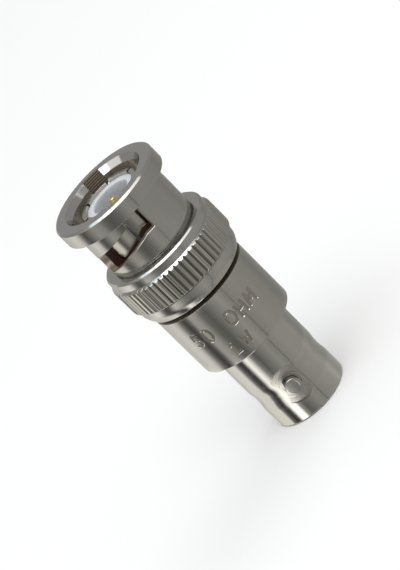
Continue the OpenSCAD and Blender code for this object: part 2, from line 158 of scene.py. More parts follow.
def shaded(mesh, outline, crease=28):
    """Gives turned faces the normals of their section, so that a cut or a long facet doesn't show in a
    reflection, and lets the other faces crease at their edges. The mesh goes from mm to metres."""
    furthest, tilt_cost, least_along = 0.02, 0.05, 0.93
    mesh.polygons.foreach_set("use_smooth", np.ones(len(mesh.polygons), bool))
    mesh.set_sharp_from_angle(angle=math.radians(crease))
    mesh.update()
    normals = read(mesh.corner_normals, "vector", 3, np.float32)
    points = read(mesh.vertices, "co", 3, np.float32).astype(float)
    corner = read(mesh.loops, "vertex_index", 1, np.int32)
    size = read(mesh.polygons, "loop_total", 1, np.int32)
    facing = read(mesh.polygons, "normal", 3, np.float32)
    owner = np.repeat(np.arange(len(size)), size)
    middle = np.zeros((len(size), 3))
    np.add.at(middle, owner, points[corner])
    middle /= size[:, None]
    out = middle[:, :2] / np.maximum(np.linalg.norm(middle[:, :2], axis=1), 1e-9)[:, None]
    section = np.c_[np.linalg.norm(middle[:, :2], axis=1), middle[:, 2]]
    start, run = outline[:, 0], outline[:, 1] - outline[:, 0]
    length = (run * run).sum(1)
    best = np.full(len(size), furthest)
    chosen = np.full(len(size), -1)
    for i in range(len(outline)):
        t = np.clip(((section - start[i]) @ run[i]) / length[i], 0, 1)
        gap = np.linalg.norm(section - start[i] - t[:, None] * run[i], axis=1)
        n = outline[i, 2] * (1 - t[:, None]) + outline[i, 3] * t[:, None]
        along = (facing[:, :2] * out).sum(1) * n[:, 0] + facing[:, 2] * n[:, 1]
        cost = gap + tilt_cost * (1 - along)
        better = (cost < best) & (along > least_along)
        best[better] = cost[better]
        chosen[better] = i
    row = chosen[owner]
    on = row >= 0
    place = points[corner[on]]
    radius = np.linalg.norm(place[:, :2], axis=1)
    spoke = place[:, :2] / np.maximum(radius, 1e-9)[:, None]
    spoke = np.where(radius[:, None] > 1e-4, spoke, out[owner[on]])
    row = row[on]
    t = ((np.c_[radius, place[:, 2]] - start[row]) * run[row]).sum(1) / length[row]
    t = np.clip(t, 0, 1)[:, None]
    n = outline[row, 2] * (1 - t) + outline[row, 3] * t
    n /= np.linalg.norm(n, axis=1)[:, None]
    normals[on] = np.c_[spoke * n[:, :1], n[:, 1]]
    mesh.transform(Matrix.Scale(0.001, 4))
    mesh.normals_split_custom_set(normals)
    return mesh


def turned_piece(name, outline, steps):
    """A plain turned piece in metres."""
    return shaded(turned_mesh(name, outline, steps), outline)


def stack(name, meshes):
    """Several finished meshes in one, each with its own normals."""
    verts, faces, normals = [], [], []
    for mesh in meshes:
        first = len(verts)
        verts.extend(v.co[:] for v in mesh.vertices)
        faces.extend([first + i for i in p.vertices] for p in mesh.polygons)
        normals.extend(n.vector[:] for n in mesh.corner_normals)
    whole = plain_mesh(name, verts, faces)
    whole.polygons.foreach_set("use_smooth", [True] * len(faces))
    whole.normals_split_custom_set(normals)
    return whole


def node(tree, kind, inputs=None, **settings):
    """A new node with its settings, and its inputs linked or set."""
    made = tree.nodes.new(kind)
    for key, value in settings.items():
        setattr(made, key, value)
    for key, value in (inputs or {}).items():
        if isinstance(value, bpy.types.NodeSocket):
            tree.links.new(value, made.inputs[key])
        else:
            made.inputs[key].default_value = value
    return made


def bare_material(name, kind, inputs):
    """A new material with nothing in it but its shader."""
    made = bpy.data.materials.new(name)
    made.use_nodes = True
    made.node_tree.nodes.clear()
    shader = node(made.node_tree, kind, inputs)
    node(made.node_tree, "ShaderNodeOutputMaterial", {"Surface": shader.outputs[0]})
    return made, shader


def plain_material(name, inputs):
    """A new material with its tree, its shader and object coordinates."""
    made, shader = bare_material(name, "ShaderNodeBsdfPrincipled", inputs)
    tree = made.node_tree
    return made, tree, shader, node(tree, "ShaderNodeTexCoord").outputs["Object"]


def maths(tree, operation, *values):
    """One step of arithmetic in a tree."""
    return node(tree, "ShaderNodeMath", dict(enumerate(values)), operation=operation).outputs[0]


def noise(tree, scale, detail, dimensions="3D", **inputs):
    """Noise of that scale: clouds, or lines where it has one dimension."""
    return node(tree, "ShaderNodeTexNoise", {"Scale": scale, "Detail": detail, **inputs},
                noise_dimensions=dimensions).outputs[0]


def mix(tree, share, a, b, blend_type="MIX"):
    """A colour that goes from a to b with the share."""
    return node(tree, "ShaderNodeMix", {"Factor": share, "A": a, "B": b}, data_type="RGBA",
                blend_type=blend_type).outputs["Result"]


def ranged(tree, value, start, end, low=0.0, high=1.0):
    """The value's run from start to end, spread from low to high."""
    return node(tree, "ShaderNodeMapRange", {"Value": value, "From Min": start, "From Max": end,
                                             "To Min": low, "To Max": high}).outputs[0]


def coated(tree, shader, colour, roughness, height, strength, distance):
    """Gives a shader its colour, its roughness and the relief of a height."""
    relief = node(tree, "ShaderNodeBump", {"Height": height, "Strength": strength, "Distance": distance})
    tree.links.new(colour, shader.inputs["Base Color"])
    tree.links.new(roughness, shader.inputs["Roughness"])
    tree.links.new(relief.outputs[0], shader.inputs["Normal"])


def axis_distance(tree, place, axis):
    """How far a place lies from an axis."""
    keep = [0.0 if i == axis else 1.0 for i in range(3)]
    flat = node(tree, "ShaderNodeVectorMath", {0: place, 1: keep}, operation="MULTIPLY").outputs[0]
    return node(tree, "ShaderNodeVectorMath", {0: flat}, operation="LENGTH").outputs["Value"]


def ring_marks(tree, place, lines, wander, axis=2, centre=(0, 0, 0)):
    """Height of fine tool rings round an axis, with so many lines to the metre."""
    moved = node(tree, "ShaderNodeVectorMath", {0: place, 1: centre}, operation="SUBTRACT").outputs[0]
    height = node(tree, "ShaderNodeSeparateXYZ", {0: moved}).outputs[axis]
    along = maths(tree, "ADD", axis_distance(tree, moved, axis), height)
    drift = noise(tree, 300.0, 1.0, Vector=place)
    along = maths(tree, "MULTIPLY_ADD", drift, wander, along)
    return noise(tree, lines, 4.0, "1D", W=along, Roughness=0.72)


def nickel(name, dark, light, rough, spread, lines=3500.0, axis=2, centre=(0, 0, 0), depth=0.18,
           roots=None, ridge=None, metal=1.0):
    """Bright nickel over turned brass: rings left by the tool, faint clouding and a few fine scratches.
    Between the radii of its roots a knurl goes from dark brown to clean plate, with fine lines along it.
    Ridges lie so far apart, in metres, with painted shade between them."""
    root_brown, ridge_shade = (0.30, 0.28, 0.23, 1), (0.09, 0.07, 0.05, 1)
    made, tree, shader, place = plain_material(name, {
        "Metallic": metal, "Anisotropic": spread, "Anisotropic Rotation": 0.25})
    relief = ring_marks(tree, place, lines, 0.00002, axis, centre)
    cloud = noise(tree, 260.0, 5.0, Vector=place, Roughness=0.6)
    tint = mix(tree, cloud, dark + (1,), light + (1,))
    # A knurl's colour goes dark brown towards its roots.
    if roots:
        clean = ranged(tree, axis_distance(tree, place, 2), *roots)
        tint = mix(tree, clean, root_brown, tint)
        x, y = node(tree, "ShaderNodeSeparateXYZ", {0: place}).outputs[:2]
        bearing = maths(tree, "ARCTAN2", y, x)
        drawn = noise(tree, 42.0, 3.0, "1D", W=bearing, Roughness=0.75)
        tint = mix(tree, 1.0, tint, ranged(tree, drawn, 0.36, 0.6, 0.68, 1.12), "MULTIPLY")
    # Between the ridges the colour goes dark: painted shade in the creases.
    if ridge:
        along = node(tree, "ShaderNodeSeparateXYZ", {0: place}).outputs[2]
        stripe = maths(tree, "PINGPONG", along, ridge / 2)
        crest = ranged(tree, stripe, 0.1 * ridge, 0.4 * ridge)
        tint = mix(tree, crest, ridge_shade, tint)
        relief = maths(tree, "MULTIPLY_ADD", crest, 3.0, relief)
    web = noise(tree, 700.0, 2.0, Vector=place, Distortion=2.5)
    hair = maths(tree, "COMPARE", web, 0.5, 0.0025)
    relief = maths(tree, "MULTIPLY_ADD", hair, -0.4, relief)
    worn = maths(tree, "MULTIPLY_ADD", hair, 0.08, ranged(tree, cloud, 0.3, 0.7, *rough))
    tangent = node(tree, "ShaderNodeTangent", direction_type="RADIAL", axis="XYZ"[axis]).outputs[0]
    tree.links.new(tangent, shader.inputs["Tangent"])
    coated(tree, shader, tint, worn, relief, strength=depth, distance=0.00001)
    return made


def add_piece(name, mesh, materials, body, slot, *nodes):
    """A finished piece in place of the CAD nodes named, moving with its body."""
    made = put_in(name, mesh)
    mesh.materials.clear()
    for m in materials:
        mesh.materials.append(m)
    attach(made, body)
    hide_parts(*nodes)
    return made


barrel = outline_of([
    (4.365, 0.0, 0.05), (4.825, 0.0, 0.12), (4.825, 2.65, 4.0), (4.70, 3.65, 4.0), (4.70, 4.45, 4.0),
    (4.825, 5.45, 4.0), (4.825, 11.05), (5.25, 11.05), (5.25, 13.15), (3.59, 13.15), (3.59, 9.3),
    (2.37, 9.3), (2.37, 8.4), (4.06, 8.4, 0.1), (4.06, 3.28, 0.1), (4.24, 3.1, 0.1), (4.24, 0.125, 0.05),
])
stud_height = 4.45
flat_at = 4.5
flat_cutter = outline_of([
    (0, flat_at - 0.12), (1.1, flat_at - 0.12), (1.15, flat_at), (1.3, flat_at), (1.36, flat_at - 0.012),
    (1.42, flat_at), (1.61, flat_at), (1.67, flat_at - 0.01), (1.73, flat_at), (2.4, flat_at, 0.03),
    (2.4, 5.6), (0, 5.6),
])
stud = outline_of([
    (0, 4.3), (1.0, 4.3), (1.0, 5.5, 0.16), (0.72, 5.5, 0.05), (0.68, 5.485, 0.05), (0, 5.485),
])


def to_stud(side, height):
    """From the Z axis to a stud's own axis, at that height and side."""
    return (Matrix.Rotation(side, 4, "Z") @ Matrix.Translation((0, 0, height))
            @ Matrix.Rotation(math.pi / 2, 4, "X"))


barrel_mesh = turned_mesh("jack_barrel", barrel, steps=480)
stud_meshes = []
for side in (0, math.pi):
    tool = turned_mesh("flat_cutter", flat_cutter, steps=160)
    tool.transform(to_stud(side, stud_height))
    barrel_mesh = cut(barrel_mesh, tool)
    one = turned_piece("stud", stud, steps=96)
    one.transform(to_stud(side, stud_height / 1000))
    stud_meshes.append(one)

jack_nickel = nickel("jack_nickel", (0.47, 0.46, 0.43), (0.53, 0.52, 0.485),
                     rough=(0.09, 0.14), spread=0.6)
milled_nickel = nickel("milled_nickel", (0.42, 0.41, 0.37), (0.50, 0.49, 0.45),
                       rough=(0.16, 0.22), spread=0.4, lines=5200.0, axis=1,
                       centre=(0, 0, stud_height / 1000), depth=0.5)
jack_mesh = stack("jack_shell_plated", [shaded(barrel_mesh, barrel), *stud_meshes])
jack_finishes = [jack_nickel, milled_nickel]
add_piece("jack_shell_plated", jack_mesh, jack_finishes, "terminator", "nickel", "jack_shell")
flat_within = 3e-6
for face in jack_mesh.polygons:
    at_flat = abs(abs(face.center.y) - flat_at / 1000) < flat_within
    face.material_index = 1 if at_flat and abs(face.normal.y) > 0.99 else 0


# Jack insulator and socket: a white PTFE nose pressed into the shell's web, and in it a gold-plated socket
# with two slotted tines that grip a mating pin. Both are turned, and the socket's slot is sawn.

def ptfe(name, dark, light):
    """Waxy white PTFE, a little translucent, with the rings of its turning."""
    made, tree, shader, place = plain_material(name, {
        "Subsurface Weight": 0.85, "Subsurface Radius": (1.0, 1.0, 1.0), "Subsurface Scale": 0.0011,
        "Specular IOR Level": 0.35})
    rings = ring_marks(tree, place, 4200.0, 0.00004)
    cloud = noise(tree, 420.0, 4.0, Vector=place)
    tint = mix(tree, cloud, dark + (1,), light + (1,))
    worn = ranged(tree, rings, 0.0, 1.0, 0.38, 0.6)
    coated(tree, shader, tint, worn, rings, strength=0.25, distance=0.00002)
    return made


def gold(name, dark, light):
    """Thin gold plate, satin and a little uneven."""
    made, tree, shader, place = plain_material(name, {"Metallic": 1.0})
    rings = ring_marks(tree, place, 6000.0, 0.00002)
    cloud = noise(tree, 900.0, 4.0, Vector=place)
    tint = mix(tree, cloud, dark + (1,), light + (1,))
    worn = ranged(tree, cloud, 0.0, 1.0, 0.22, 0.42)
    coated(tree, shader, tint, worn, rings, strength=0.2, distance=0.00001)
    return made


def block(name, low, high):
    """A plain cutter between two corners, in mm."""
    x, y, z = zip(low, high)
    verts = [(x[i], y[j], z[k]) for k in (0, 1) for j in (0, 1) for i in (0, 1)]
    faces = [(0, 2, 3, 1), (4, 5, 7, 6), (0, 1, 5, 4), (2, 6, 7, 3), (0, 4, 6, 2), (1, 3, 7, 5)]
    return plain_mesh(name, verts, faces)


# The PTFE's grey, bluish tone is painted shade, as it lies in the plug's mouth; PTFE itself is white.
shaded_ptfe = ptfe("shaded_ptfe", (0.56, 0.585, 0.605), (0.63, 0.65, 0.67))
contact_gold = gold("contact_gold", (0.72, 0.50, 0.17), (0.86, 0.66, 0.31))
nose = outline_of([
    (1.05, 3.4, 0.06), (2.35, 3.4, 0.15), (2.35, 9.3), (3.57, 9.3), (3.57, 10.7), (1.05, 10.7),
])
nose_mesh = turned_piece("jack_nose", nose, steps=160)
add_piece("jack_nose", nose_mesh, [shaded_ptfe], "terminator", "ptfe", "jack_insulator")

socket = outline_of([
    (0.7, 3.6, 0.08), (1.03, 3.6, 0.12), (1.03, 10.7), (1.6, 10.7), (1.6, 11.5), (0.9, 11.5), (0.9, 15.2),
    (0.47, 15.2), (0.47, 13.78), (0, 13.78), (0, 9.2), (0.7, 9.2),
])
tine_slot = block("tine_slot", (-2, -0.125, 3), (2, 0.125, 6.8))
socket_mesh = cut(turned_mesh("socket_tines", socket, steps=96), tine_slot)
add_piece("socket_tines", shaded(socket_mesh, socket), [contact_gold], "terminator", "gold", "jack_socket")


# Body sleeve: a plain turned tube of nickel-plated brass that holds the resistor, with the plug shell
# pressed in from the front and the jack from behind. Its rating is stamped into it, letter by letter.

sleeve_radius, sleeve_back, sleeve_front = 6.23, 11.05, 19.18
sleeve = outline_of([
    (5.27, sleeve_back, 0.03), (sleeve_radius, sleeve_back, 0.16), (sleeve_radius, sleeve_front, 0.04),
    (4.02, sleeve_front), (4.02, 17.05), (4.8, 17.05), (4.8, 14.35), (5.27, 14.35),
])


def oval(width, height, points=22):
    """A closed round stroke that stands on the row."""
    turn = [2 * math.pi * i / points for i in range(points + 1)]
    return [(width / 2 + width / 2 * math.cos(a), height / 2 + height / 2 * math.sin(a)) for a in turn]


letters = {
    "5": [[(0.56, 1.0), (0.12, 1.0), (0.08, 0.56), (0.22, 0.63), (0.40, 0.60), (0.54, 0.48), (0.58, 0.30),
           (0.52, 0.12), (0.36, 0.01), (0.20, 0.02), (0.06, 0.12)]],
    "0": [oval(0.56, 1.0)],
    "O": [oval(0.72, 1.0)],
    "H": [[(0.04, 0), (0.04, 1)], [(0.60, 0), (0.60, 1)], [(0.04, 0.52), (0.60, 0.52)]],
    "M": [[(0.02, 0), (0.09, 1), (0.36, 0.32), (0.63, 1), (0.70, 0)]],
    "1": [[(0.10, 0.80), (0.32, 1.0), (0.32, 0)], [(0.06, 0), (0.58, 0)]],
    "W": [[(0, 1), (0.18, 0), (0.38, 0.74), (0.58, 0), (0.76, 1)]],
}


def stamp_row(words, middle, foot, height, pitch, lean):
    """Strokes of one stamped row as (arc length, height) in mm. Each letter stands a little askew."""
    strokes = []
    half_wide, half_high = 0.35, 0.5
    left = -pitch * (len(words) - 1) / 2
    for i, letter in enumerate(words):
        if letter == " ":
            continue
        a = math.radians(lean[i % len(lean)])
        drop = 0.05 * lean[(i + 1) % len(lean)] / 3
        for stroke in letters[letter]:
            turned_stroke = []
            for x, y in stroke:
                x, y = (x - half_wide) * height, (y - half_high) * height
                turned_stroke.append((middle + left + i * pitch + x * math.cos(a) - y * math.sin(a),
                                      foot + height / 2 + drop + x * math.sin(a) + y * math.cos(a)))
            strokes.append(turned_stroke)
    return strokes


def punch_mesh(strokes, radius, lift, thick, facets=16):
    """Round-nosed punch marks along strokes on a cylinder, as one cutter in mm."""
    stride, nose_length = 0.1, 0.9
    verts, faces = [], []
    for stroke in strokes:
        fine = [np.array(stroke[0])]
        for a, b in zip(stroke, stroke[1:]):
            steps = max(1, math.ceil(math.dist(a, b) / stride))
            fine.extend(np.array(a) + (np.array(b) - np.array(a)) * k / steps for k in range(1, steps + 1))
        closed = math.dist(stroke[0], stroke[-1]) < 1e-6
        if closed:
            fine = fine[:-1]
        angle = [p[0] / radius for p in fine]
        centres = [np.array([(radius + lift) * math.sin(a), -(radius + lift) * math.cos(a), p[1]])
                   for a, p in zip(angle, fine)]
        first = len(verts)
        count = len(centres)
        for i, centre in enumerate(centres):
            before = centres[i - 1] if i or closed else centre
            after = centres[(i + 1) % count] if i + 1 < count or closed else centre
            way = (after - before) / np.linalg.norm(after - before)
            out = np.array([math.sin(angle[i]), -math.cos(angle[i]), 0])
            side = np.cross(way, out)
            side /= np.linalg.norm(side)
            for k in range(facets):
                t = 2 * math.pi * k / facets
                verts.append(centre + thick * (math.cos(t) * side + math.sin(t) * out))
        for i in range(count if closed else count - 1):
            a, b = first + i * facets, first + (i + 1) % count * facets
            faces.extend((a + k, b + k, b + (k + 1) % facets, a + (k + 1) % facets) for k in range(facets))
        if not closed:
            for at, step in ((0, 1), (count - 1, -1)):
                way = centres[at] - centres[at + step]
                tip = len(verts)
                verts.append(centres[at] + nose_length * thick * way / np.linalg.norm(way))
                a = first + at * facets
                for k in range(facets):
                    pair = (a + k, a + (k + 1) % facets)
                    faces.append((tip,) + (pair if step > 0 else pair[::-1]))
    return plain_mesh("punch", verts, faces)


rating = stamp_row("50 OHM", middle=-0.2, foot=15.0, height=1.7, pitch=1.62, lean=(-3, 2, 4, -2, 3, -4))
rating += stamp_row("1W", middle=-0.6, foot=12.2, height=1.45, pitch=1.5, lean=(3, -3))
punch = punch_mesh(rating, sleeve_radius, lift=0.155, thick=0.24)
sleeve_mesh = cut(turned_mesh("body_tube", sleeve, steps=480), punch, overlaps=True)
sleeve_mesh = shaded(sleeve_mesh, sleeve)
body_nickel = nickel("body_nickel", (0.46, 0.45, 0.415), (0.53, 0.52, 0.48),
                     rough=(0.12, 0.17), spread=0.6)
# The stamped letters' darker tone is painted shade in their recesses.
stamp_shade_nickel = nickel("stamp_shade_nickel", (0.34, 0.32, 0.285), (0.46, 0.44, 0.40),
                      rough=(0.08, 0.13), spread=0.2, depth=0.2)
# The sleeve's front face, in the gap under the nut's lip, is rough, and its brownish tone is painted shade
# of that gap.
gap_shade_nickel = nickel("gap_shade_nickel", (0.46, 0.41, 0.31), (0.58, 0.53, 0.42),
                     rough=(0.5, 0.62), spread=0.0, depth=0.5)
sleeve_finishes = [body_nickel, stamp_shade_nickel, gap_shade_nickel]
add_piece("body_tube", sleeve_mesh, sleeve_finishes, "terminator", "nickel", "body_sleeve")
stamp_floor, stamp_edge, stamp_low, stamp_high, gap_shade_from = 6.0, 6.222, 11.3, 18.7, 19.1
for face in sleeve_mesh.polygons:
    x, y, z = face.center * 1000
    if stamp_floor < math.hypot(x, y) < stamp_edge and stamp_low < z < stamp_high:
        finish = stamp_shade_nickel
    elif z > gap_shade_from and face.normal.z > 0.7:
        finish = gap_shade_nickel
    else:
        finish = body_nickel
    face.material_index = sleeve_finishes.index(finish)


# What body and nut hide: a ceramic ring with a dark resistive film, the gold ring that joins it to the
# body, a ring of solder, two PTFE beads and two flat steel washers. The CAD's own solids, dressed here.

def dressed(names, made):
    """Gives CAD nodes their material."""
    for n in names:
        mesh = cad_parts[n].data
        mesh.materials.clear()
        mesh.materials.append(made)


def grained(name, dark, light, rough, metal, scale, strength):
    """A fine-grained finish whose colour, gloss and relief all follow one noise."""
    made, tree, shader, place = plain_material(name, {"Metallic": metal})
    grain = noise(tree, scale, 6.0, Vector=place)
    tint = mix(tree, grain, dark + (1,), light + (1,))
    worn = ranged(tree, grain, 0.0, 1.0, *rough)
    coated(tree, shader, tint, worn, grain, strength, distance=0.00004)
    return made


resistive_film = grained("resistive_film", (0.03, 0.03, 0.035), (0.07, 0.07, 0.075), rough=(0.4, 0.6),
                         metal=0.0, scale=3000.0, strength=0.3)
soft_solder = grained("soft_solder", (0.55, 0.55, 0.54), (0.70, 0.70, 0.69), rough=(0.25, 0.45),
                      metal=1.0, scale=1200.0, strength=0.4)
spring_steel = grained("spring_steel", (0.40, 0.40, 0.40), (0.55, 0.55, 0.54), rough=(0.28, 0.42),
                       metal=1.0, scale=2500.0, strength=0.15)
dressed(["resistor_disc"], resistive_film)
dressed(["solder_ring"], soft_solder)
dressed(["contact_ring"], contact_gold)
dressed(["plug_bead", "jack_bead"], shaded_ptfe)
dressed(["thrust_washer_rear", "thrust_washer_front"], spring_steel)


# Plug shell: the contact ring in the plug's mouth, with the flange that the nut turns on and the spigot
# that holds it in the body. Turned and plated in one piece, then sawn into six springing fingers.

rim_height = 33.69
shell = outline_of([
    (3.6, 16.65), (4.0, 16.65), (4.0, 19.05), (4.3, 19.05), (4.3, 22.97), (5.7, 22.97, 0.05),
    (5.7, 23.97, 0.05), (4.0, 23.97), (4.0, 24.97), (3.7, 24.97, 0.05), (3.7, 27.32, 0.1),
    (3.95, 27.57, 0.1), (3.95, rim_height, 0.2), (3.3, rim_height, 0.06), (3.3, 20.75), (3.6, 20.75),
])


def shape_rule(name, piece, counts, sizes):
    """A new tree that reshapes a piece, the sockets of its named inputs, and what they give inside it."""
    tree = bpy.data.node_groups.new(name, "GeometryNodeTree")
    sockets = {}
    kinds = {piece: "Geometry", **dict.fromkeys(counts, "Int"), **dict.fromkeys(sizes, "Float")}
    for label, kind in (*kinds.items(), ("Plating", "Material")):
        sockets[label] = tree.interface.new_socket(label, in_out="INPUT", socket_type="NodeSocket" + kind)
    tree.interface.new_socket(piece, in_out="OUTPUT", socket_type="NodeSocketGeometry")
    return tree, sockets, node(tree, "NodeGroupInput").outputs


def end_rule(tree, shape, plating):
    """Ends a tree with its shape realized and plated."""
    shape = node(tree, "GeometryNodeRealizeInstances", {0: shape}).outputs[0]
    shape = node(tree, "GeometryNodeSetMaterial", {"Geometry": shape, "Material": plating}).outputs[0]
    node(tree, "NodeGroupOutput", {0: shape})


def through_nodes(mesh, tree, sockets, values):
    """The mesh after a node tree, as a plain mesh. Values are set by the sockets' identifiers."""
    work = put_in("work", mesh)
    step = work.modifiers.new("rule", "NODES")
    step.node_group = tree
    for label, value in values.items():
        step[sockets[label].identifier] = value
    return finished_mesh(work)


saw_tree, saw_in, given = shape_rule("finger_saw", "Shell", ["Slots"],
                                     ["Width", "Length", "Rim Height", "Turn"])
blade_depth, past_rim, ring_middle = 2.0, 0.4, 3.6
blade_size = node(saw_tree, "ShaderNodeCombineXYZ",
                  {0: given["Width"], 1: blade_depth, 2: given["Length"]})
half = maths(saw_tree, "MULTIPLY", given["Length"], 0.5)
middle = maths(saw_tree, "SUBTRACT", given["Rim Height"], half)
middle = maths(saw_tree, "ADD", middle, past_rim)
blade_place = node(saw_tree, "ShaderNodeCombineXYZ", {0: 0.0, 1: -ring_middle, 2: middle}).outputs[0]
blade = node(saw_tree, "GeometryNodeMeshCube", {"Size": blade_size.outputs[0]}).outputs["Mesh"]
blade = node(saw_tree, "GeometryNodeTransform", {"Geometry": blade, "Translation": blade_place}).outputs[0]
spots = node(saw_tree, "GeometryNodePoints", {"Count": given["Slots"]}).outputs[0]
index = node(saw_tree, "GeometryNodeInputIndex").outputs[0]
step_angle = maths(saw_tree, "DIVIDE", 2 * math.pi, given["Slots"])
blade_turn = maths(saw_tree, "MULTIPLY_ADD", index, step_angle, given["Turn"])
blade_turn = node(saw_tree, "ShaderNodeCombineXYZ", {2: blade_turn}).outputs[0]
blades = node(saw_tree, "GeometryNodeInstanceOnPoints",
              {"Points": spots, "Instance": blade, "Rotation": blade_turn}).outputs[0]
blades = node(saw_tree, "GeometryNodeRealizeInstances", {0: blades}).outputs[0]
sawn = node(saw_tree, "GeometryNodeMeshBoolean", {"Mesh 1": given["Shell"], "Mesh 2": blades},
            operation="DIFFERENCE", solver="EXACT").outputs[0]
end_rule(saw_tree, sawn, given["Plating"])

contact_nickel = nickel("contact_nickel", (0.46, 0.445, 0.40), (0.53, 0.515, 0.465),
                        rough=(0.12, 0.18), spread=0.5)
shell_mesh = through_nodes(turned_mesh("contact_fingers", shell, steps=240), saw_tree, saw_in, {
    "Slots": 6, "Width": 0.35, "Length": 6.6, "Rim Height": rim_height, "Turn": math.radians(-7.5),
    "Plating": contact_nickel})
shell_mesh = shaded(shell_mesh, shell)
add_piece("contact_fingers", shell_mesh, [contact_nickel], "terminator", "nickel", "plug_shell")


# Plug insulator: the white PTFE core that fills the contact ring, turned, with a deep round recess that
# takes a mating jack's nose. The pin stands in its middle.

core = outline_of([
    (1.07, 18.95), (3.58, 18.95), (3.58, 20.75), (3.28, 20.75), (3.28, 33.39, 0.08), (2.45, 33.39, 0.12),
    (2.45, 27.99, 0.1), (1.07, 27.99),
])
core_mesh = turned_piece("plug_core", core, steps=240)
add_piece("plug_core", core_mesh, [shaded_ptfe], "terminator", "ptfe", "plug_insulator")


# Centre pin: turned brass with gold plate and a rounded tip, held by its collar between the PTFE core
# and the bead behind it.

pin = outline_of([
    (0, 13.8), (0.45, 13.8), (0.45, 15.2), (0.9, 15.2), (0.9, 18.15), (1.6, 18.15), (1.6, 18.95),
    (1.05, 18.95), (1.05, 27.99), (0.675, 27.99), (0.675, 32.25, 0.3), (0.34, 33.19, 0.22), (0, 33.19),
])
pin_mesh = turned_piece("centre_pin", pin, steps=96)
add_piece("centre_pin", pin_mesh, [contact_gold], "terminator", "gold", "plug_pin")


# Gasket: a red-brown silicone ring, moulded, lying on the plug shell's flange at the bottom of the mouth.
# A mating jack's end face presses on it.

gasket = outline_of([(4.02, 23.97, 0.05), (4.75, 23.97, 0.12), (4.75, 24.97, 0.2), (4.02, 24.97, 0.2)])
silicone = grained("silicone", (0.52, 0.19, 0.12), (0.66, 0.28, 0.18), rough=(0.5, 0.75),
                   metal=0.0, scale=1800.0, strength=0.4)
gasket_mesh = turned_piece("mouth_gasket", gasket, steps=160)
add_piece("mouth_gasket", gasket_mesh, [silicone], "terminator", "silicone", "plug_gasket")


# Wave washer: a spring-steel ring pressed into three waves, loose in the nut's chamber between the two
# flat washers. The real one flattens as the nut is pulled forward; here it keeps the CAD's shape.

joined = bmesh.new()
joined.from_mesh(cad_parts["wave_washer"].data)
bmesh.ops.remove_doubles(joined, verts=joined.verts, dist=1e-7)
bmesh.ops.recalc_face_normals(joined, faces=joined.faces)
wave_mesh = bpy.data.meshes.new("spring_wave")
joined.to_mesh(wave_mesh)
joined.free()
wave = add_piece("spring_wave", wave_mesh, [spring_steel], "terminator", "steel", "wave_washer")
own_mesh(wave)


# Coupling nut: turned from brass bar in one piece, knurled, then milled with two bayonet grooves that run
# from the mouth into a through-cut ramp and a lock hole. Nickel plated, and free to turn and to slide.

nut_turn, nut_sleeve, nut_bore = 7.5, 5.71, 4.9
nut = outline_of([
    (4.5, 19.5, 0.12), (5.95, 19.5, 0.3), (6.4, 19.78, 0.45), (6.85, 20.7, 1.4), (6.85, 25.4),
    (6.94, 25.4, 0.02), (6.94, 26.3, 0.04), (6.74, 26.5, 0.04), (5.46, 26.5, 0.03), (5.46, 26.78, 0.03),
    (nut_sleeve, 26.8, 0.05), (nut_sleeve, 32.59, 0.08), (6.925, 32.59, 0.15), (6.925, 34.45, 0.04),
    (6.685, 34.69, 0.04), (5.4, 34.69, 0.09), (nut_bore, 33.89, 0.15), (nut_bore, 29.3),
    (nut_bore, 23.99, 0.05), (5.8, 23.99), (5.8, 20.95), (4.5, 20.95, 0.05),
])


def groove_outline(radius):
    """Edge of the through-cut part of one groove, unrolled: arc length to the right, then height."""
    half, top, floor, lead, width = 1.15, 32.56, 29.39, 9.6 / 360, 2.377
    lock, lock_height, lock_radius = 84.0, 28.54, 1.2
    ramp_end = lock - 2

    def at(turn):
        return -radius * math.radians(turn)

    edge = [(half, top), (half, floor, 0.08), (0, floor)]
    edge += [(at(a), floor - lead * a) for a in (28.0, 56.0)]
    edge += [(at(ramp_end), floor - lead * ramp_end, 0.1)]
    for k in range(-80, 141, 10):
        t = math.radians(-90 - k)
        s = at(lock) + lock_radius * math.cos(t)
        z = lock_height + lock_radius * math.sin(t)
        front = floor + width - lead * math.degrees(-s / radius)
        if s <= at(ramp_end) or z > front:
            edge.append((s, z))
    edge += [(at(a), floor + width - lead * a) for a in (66.0, 44.0, 22.0)]
    edge += [(-half, floor + width - lead * math.degrees(half / radius), 0.12), (-half, top)]
    return outline_of(edge[::-1])


def groove_cutter(radius, side):
    """The through-cut part of one groove as a closed cutter whose walls flare a little at both skins."""
    flare_top, stride = 32.3, 0.2
    points, away = [], []
    for p, q, m, n in groove_outline(radius):
        steps = max(1, math.ceil(np.linalg.norm(q - p) / stride))
        for k in range(steps):
            points.append(p + (q - p) * k / steps)
            away.append(m + (n - m) * k / steps)
    points, away = np.array(points), np.array(away)
    away[points[:, 1] > flare_top] = 0
    layers = [(4.3, 0.03), (4.9, 0.03), (4.93, 0.0), (5.67, 0.0), (5.715, 0.045), (7.6, 0.045)]
    count = len(points)
    verts, faces = [], []
    for r, flare in layers:
        spread = points + flare * away
        angle = math.radians(nut_turn) + side + spread[:, 0] / radius
        verts.extend(zip(r * np.sin(angle), -r * np.cos(angle), spread[:, 1]))
    for i in range(len(layers) - 1):
        for j in range(count):
            k = (j + 1) % count
            faces.append((i * count + j, i * count + k, (i + 1) * count + k, (i + 1) * count + j))
    loop = [(i, (i + 1) % count) for i in range(count)]
    _, _, tris, origins, _, _ = delaunay_2d_cdt([Vector(p) for p in points], loop, [], 1, 1e-7)
    back = [ids[0] for ids in origins]
    top = (len(layers) - 1) * count
    for tri in tris:
        a, b, c = (back[i] for i in tri)
        faces.append((c, b, a))
        faces.append((a + top, b + top, c + top))
    return plain_mesh("groove_cutter", verts, faces)


